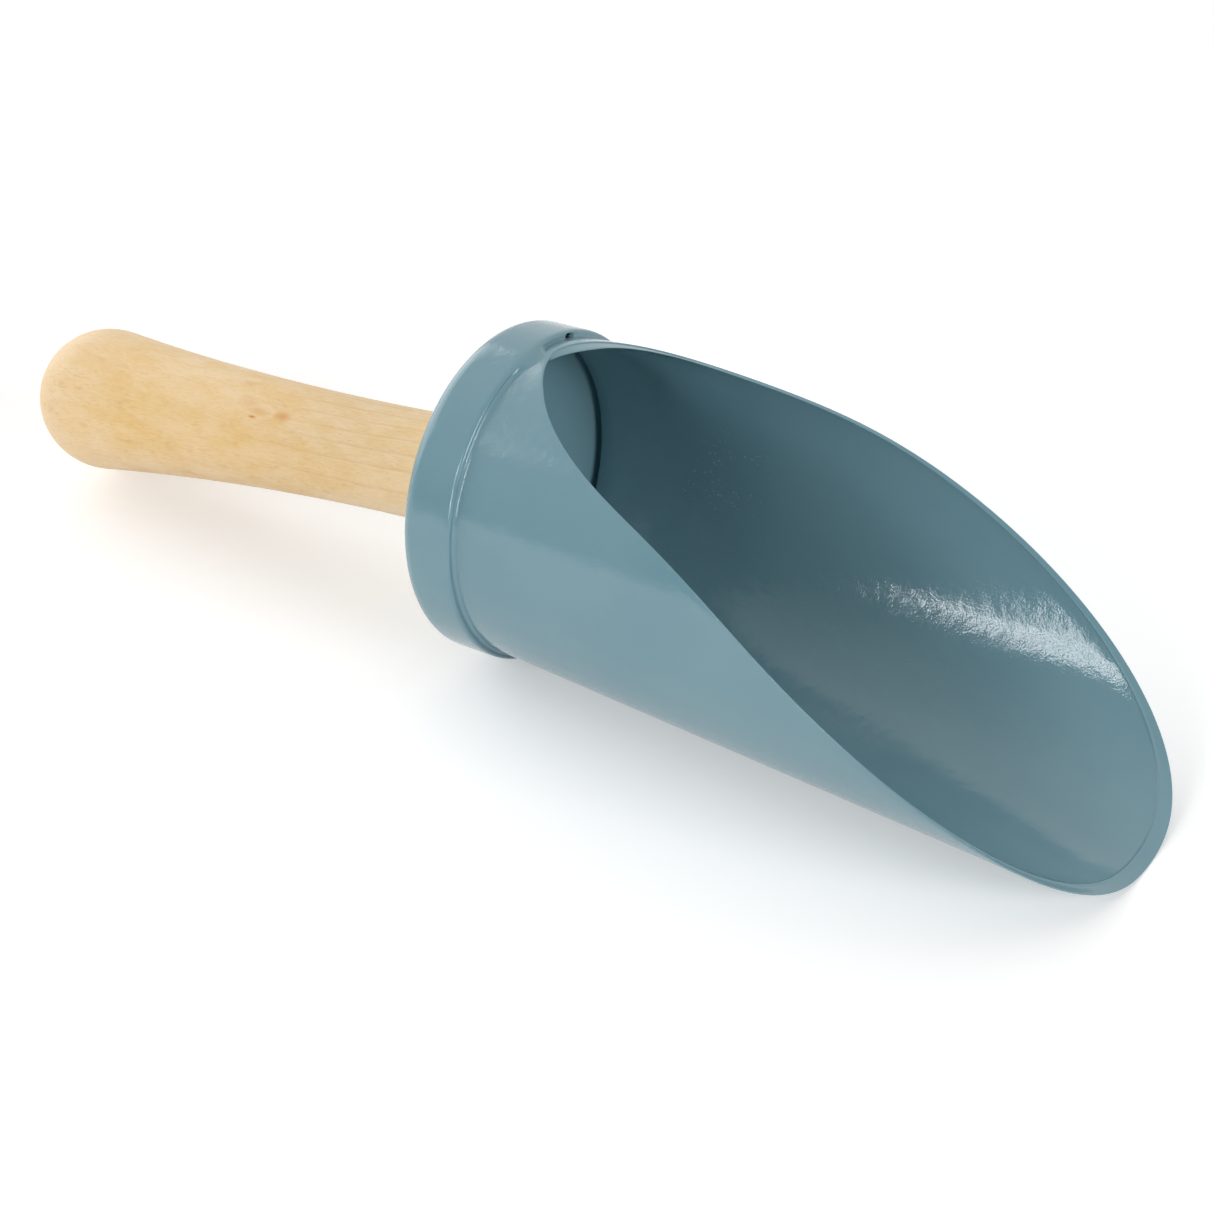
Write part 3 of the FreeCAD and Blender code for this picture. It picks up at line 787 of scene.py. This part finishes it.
class FEEDSCOOP_OT_fit_screw(bpy.types.Operator):
    """Stamps the washer and turns the slotted, threaded screw that holds the handle"""
    bl_idname = "feedscoop.fit_screw"
    bl_label = "Fit the screw and washer"

    def execute(self, context):
        sizes, cap = context.scene.scoop_fixing, context.scene.scoop_cap
        seat = cap.sheet + sizes.washer_sheet
        edge, low, high = sizes.washer_edge, cap.sheet, seat
        outline = [(low, sizes.washer_hole), (low, sizes.washer_radius - edge)]
        outline += arc((low + edge, sizes.washer_radius - edge), edge, math.pi, QUARTER, 3)[1:]
        outline += arc((high - edge, sizes.washer_radius - edge), edge, QUARTER, 0.0, 4)
        outline += arc((high - edge, sizes.washer_hole + edge), edge, 0.0, -QUARTER, 4)
        outline += [(low, sizes.washer_hole)]
        washer = draw_outline("stamped_washer", outline)
        spin_outline(sizes.steps)
        shade(washer, 38)
        set_down(washer, cap_place(), "washer", zinc_plate())
        screw = self.turn_screw(sizes, seat)
        shade(screw, 32)
        set_down(screw, cap_place(), "handle_screw", zinc_plate())
        return {"FINISHED"}

    def turn_screw(self, sizes, seat):
        """Turns the pan head and the core, then cuts the slot and winds the thread."""
        crown = seat + sizes.head_height
        rounding = sizes.head_round
        points = [(crown, 0.0), (crown - 0.04 * MM, sizes.head_radius * 0.35),
                  (crown - 0.12 * MM, sizes.head_radius - rounding * 1.2)]
        points += arc((crown - 0.18 * MM - rounding, sizes.head_radius - rounding), rounding,
                      0.84 * QUARTER, QUARTER, 6)
        points += [(seat + 0.15 * MM, sizes.head_radius), (seat, sizes.head_radius - 0.15 * MM),
                   (seat, sizes.root_radius + 0.3 * MM), (seat - 0.4 * MM, sizes.root_radius)]
        tip = seat - sizes.shank_length
        points += [(seat - sizes.plain_length, sizes.root_radius), (tip + sizes.point, sizes.root_radius),
                   (tip + 0.6 * MM, 0.35 * MM), (tip, 0.0)]
        screw = draw_outline("slotted_screw", points)
        spin_outline(sizes.steps)
        self.cut_slot(screw, sizes, crown)
        self.wind_thread(screw, sizes, seat, tip)
        return screw

    def cut_slot(self, screw, sizes, crown):
        """Mills the driver slot across the head."""
        start_clean()
        bpy.ops.mesh.primitive_cube_add(size=1.0, location=(crown, 0.0, 0.0),
                                        scale=(2 * sizes.slot_depth, 3 * sizes.head_radius, sizes.slot_width))
        cutter = name_piece("slot_cutter")
        bpy.ops.object.transform_apply(location=True, rotation=True, scale=True)
        take(screw)
        slot = screw.modifiers.new("Slot", "BOOLEAN")
        slot.operation, slot.solver, slot.object = "DIFFERENCE", "EXACT", cutter
        bpy.ops.object.modifier_apply(modifier=slot.name)
        bpy.data.objects.remove(cutter)

    def wind_thread(self, screw, sizes, seat, tip):
        """Winds the thread round the core and joins it to the screw."""
        first, last = seat - sizes.plain_length, tip + 1.2 * MM
        turns = (first - last) / sizes.pitch
        steps = int(turns * 20)
        start_clean()
        bpy.ops.mesh.primitive_plane_add(size=MM, location=(first, 0.0, sizes.root_radius))
        thread = name_piece("thread")
        bpy.ops.object.transform_apply(location=True, rotation=True, scale=True)
        flank = 0.42 * sizes.pitch
        rise = sizes.shank_radius - sizes.root_radius
        ridge = [(-flank, -0.15 * MM), (flank, -0.15 * MM), (0.06 * MM, rise), (-0.06 * MM, rise)]
        for vertex, (along, out) in zip(sorted(thread.data.vertices, key=lambda v: (v.co.y, v.co.x)),
                                        [ridge[0], ridge[1], ridge[3], ridge[2]]):
            vertex.co = (first + along, 0.0, sizes.root_radius + out)
        screwing = thread.modifiers.new("Winding", "SCREW")
        screwing.axis, screwing.angle, screwing.screw_offset = "X", -math.tau * turns, -(first - last)
        screwing.steps = screwing.render_steps = steps
        screwing.use_smooth_shade = False
        bpy.ops.object.modifier_apply(modifier=screwing.name)
        for vertex in thread.data.vertices:
            radius = math.hypot(vertex.co.y, vertex.co.z)
            left = within((vertex.co.x - tip) / sizes.point)
            lead = within((first + flank - vertex.co.x) / sizes.pitch)
            core = sizes.root_radius * left
            wanted = core + (radius - sizes.root_radius) * min(left + 0.15, 1.0) * lead
            vertex.co.y *= wanted / radius
            vertex.co.z *= wanted / radius
        edit_all()
        bpy.ops.mesh.remove_doubles(threshold=WELD / 2)
        turn_outwards()
        take(screw, thread)
        bpy.ops.object.join()


# ---------------------------------------------------------------- the stage

# name, turn and rise in degrees, metres away, width and height in metres, lean in degrees,
# and brightness as a setting of the stage and a share of it
LAMPS = (
    ("window_left", -11.1, 37.0, 1.0, 0.050, 0.270, -14.5, "front_brightness", 1.15),
    ("window_glow", -12.6, 32.6, 0.98, 0.034, 0.060, -15.0, "front_brightness", 0.9),
    ("window_right", -6.5, 38.6, 1.0, 0.066, 0.205, -15.3, "front_brightness", 1.15),
    ("window_middle", -4.0, 25.7, 1.02, 0.115, 0.310, 13.5, "front_brightness", 1.0),
    ("window_low", 7.0, 14.5, 1.12, 0.430, 0.230, 0.0, "front_brightness", 0.79),
    ("side_softbox", 82.0, 24.0, 2.4, 1.2, 0.9, 0.0, "side_brightness", 1.0),
    ("rear_scrim", -96.0, 24.0, 2.4, 2.8, 1.8, 0.0, "rear_brightness", 1.0),
)


def look_from(turn, rise):
    """The direction from the scoop to a lamp or camera: round to the right from the front, and up."""
    return Vector((math.sin(turn) * math.cos(rise), -math.cos(turn) * math.cos(rise), math.sin(rise)))


def face_scoop(thing, name, way, lean):
    """Names a lamp or camera and turns it to look back along that direction, tipped over by the lean."""
    thing.name = thing.data.name = name
    upright = way.to_track_quat("Z", "Y")
    thing.rotation_euler = (upright @ Euler((0, 0, lean)).to_quaternion()).to_euler()


class FEEDSCOOP_OT_set_stage(bpy.types.Operator):
    """Lays the pale floor, lights the room, hangs the window panes and softboxes and stands the camera"""
    bl_idname = "feedscoop.set_stage"
    bl_label = "Set the stage"

    def execute(self, context):
        look = context.scene.scoop_stage
        self.lay_floor(look)
        self.light_room(context.scene, look)
        for lamp in LAMPS:
            self.hang(look, *lamp)
        self.stand_camera(context.scene, look)
        context.scene.view_settings.view_transform = "Standard"
        return {"FINISHED"}

    def lay_floor(self, look):
        """Lays a wide pale floor that keeps the scoop's shadow, and stays white beyond the lamps' reach."""
        start_clean()
        bpy.ops.mesh.primitive_plane_add(size=60.0)
        floor = name_piece("studio_floor")
        material, bench = new_finish("pale_floor")
        if bench:
            rays = bench.add("LightPath")
            seen = bench.math("MAXIMUM", rays.outputs["Is Camera Ray"], bench.math(
                "MAXIMUM", rays.outputs["Is Glossy Ray"], rays.outputs["Is Transmission Ray"]))
            card = bench.add("BsdfDiffuse", None, Color=solid([look.floor_tone] * 3))
            away = bench.measure("LENGTH", bench.place())
            unlit = bench.spread(away, 0.7, 1.5, 0.0, 1.0 - look.floor_lift)
            unlit = bench.times(rays.outputs["Is Camera Ray"], unlit)
            bright = bench.math("ADD", bench.times(seen, look.floor_lift), unlit)
            lift = bench.add("Emission", None, Color=WHITE, Strength=bright)
            bench.show(bench.add("AddShader", None, i0=card.outputs[0], i1=lift.outputs[0]))
        floor.data.materials.append(material)

    def light_room(self, scene, look):
        """A dark room with a pale wall behind the handle, and a backdrop that is white where it shows."""
        world = scene.world or bpy.data.worlds.new("studio_room")
        scene.world = world
        world.use_nodes = True
        bench = Bench(world)
        view = bench.add("TexCoord").outputs["Generated"]
        way = bench.add("SeparateXYZ", None, Vector=view)
        wall = bench.measure("DOT_PRODUCT", view, (-0.71, 0.59, 0.38))
        side = bench.spread(wall, -0.15, 1.0, look.room_dark, look.room_dark + look.room_pale)
        top = bench.spread(way.outputs["Z"], 0.6, 1.0, 0.0, look.room_top)
        room = bench.math("MINIMUM", bench.math("ADD", side, top), 1.0)
        studio = bench.add("Background", None, Color=WHITE, Strength=room)
        white = bench.add("Background", None, Color=WHITE, Strength=1.0)
        rays = bench.add("LightPath")
        backdrop = bench.spread(way.outputs["Y"], 0.0, 0.3)
        mirrored = bench.times(backdrop, bench.math(
            "MAXIMUM", rays.outputs["Is Glossy Ray"], rays.outputs["Is Transmission Ray"]))
        seen = bench.math("MAXIMUM", rays.outputs["Is Camera Ray"], mirrored)
        both = bench.add("MixShader", None, i0=seen, i1=studio.outputs[0], i2=white.outputs[0])
        bench.show(both, "OutputWorld")

    def hang(self, look, name, turn, rise, away, wide, high, lean, setting, strength):
        """Hangs a lamp that faces the scoop; its power follows from its face and how bright that looks."""
        way = look_from(math.radians(turn), math.radians(rise))
        start_clean()
        bpy.ops.object.light_add(type="AREA", location=way * away)
        lamp = bpy.context.object
        face_scoop(lamp, name, way, math.radians(lean))
        lamp.data.shape = "RECTANGLE"
        lamp.data.size, lamp.data.size_y = wide, high
        lamp.data.energy = strength * getattr(look, setting) * math.pi * wide * high

    def stand_camera(self, scene, look):
        """Stands the camera where the whole scoop is seen from the right, above its mouth."""
        way = look_from(look.turn, look.rise)
        start_clean()
        bpy.ops.object.camera_add(location=Vector(look.aim) + way * look.distance)
        camera = bpy.context.object
        face_scoop(camera, "studio_camera", way, look.roll)
        camera.data.lens = look.lens
        camera.data.sensor_width = 36.0
        camera.data.clip_end = 200.0
        scene.camera = camera


# ---------------------------------------------------------------- panel and registration

class FEEDSCOOP_PT_sidebar(bpy.types.Panel):
    """Lists the scoop's operators and sizes"""
    bl_label = "Feed scoop"
    bl_idname = "FEEDSCOOP_PT_sidebar"
    bl_space_type = "VIEW_3D"
    bl_region_type = "UI"
    bl_category = "Feed scoop"

    def draw(self, context):
        for operator, groups in STEPS:
            box = self.layout.box()
            box.operator(operator.bl_idname)
            for group in groups:
                settings = getattr(context.scene, group)
                for name in settings.__annotations__:
                    box.prop(settings, name)


GROUPS = {
    "scoop_body": FeedScoopBodySizes, "scoop_cap": FeedScoopCapSizes, "scoop_handle": FeedScoopHandleSizes,
    "scoop_fixing": FeedScoopFixingSizes, "scoop_paint": FeedScoopPaintLook, "scoop_wood": FeedScoopWoodLook,
    "scoop_plate": FeedScoopPlateLook, "scoop_stage": FeedScoopStageLook,
}
STEPS = (
    (FEEDSCOOP_OT_set_stage, ("scoop_stage",)),
    (FEEDSCOOP_OT_roll_body, ("scoop_body", "scoop_paint")),
    (FEEDSCOOP_OT_press_cap, ("scoop_cap",)),
    (FEEDSCOOP_OT_turn_handle, ("scoop_handle", "scoop_wood")),
    (FEEDSCOOP_OT_fit_screw, ("scoop_fixing", "scoop_plate")),
)
CLASSES = (*GROUPS.values(), *(step[0] for step in STEPS), FEEDSCOOP_PT_sidebar)


def register():
    for item in CLASSES:
        bpy.utils.register_class(item)
    for name, group in GROUPS.items():
        setattr(bpy.types.Scene, name, bpy.props.PointerProperty(type=group))


def unregister():
    for name in GROUPS:
        delattr(bpy.types.Scene, name)
    for item in reversed(CLASSES):
        bpy.utils.unregister_class(item)


def main():
    register()
    bpy.ops.feedscoop.set_stage()
    bpy.ops.feedscoop.roll_body()
    bpy.ops.feedscoop.press_cap()
    bpy.ops.feedscoop.turn_handle()
    bpy.ops.feedscoop.fit_screw()
    bpy.context.view_layer.update()


if __name__ == "__main__":
    main()
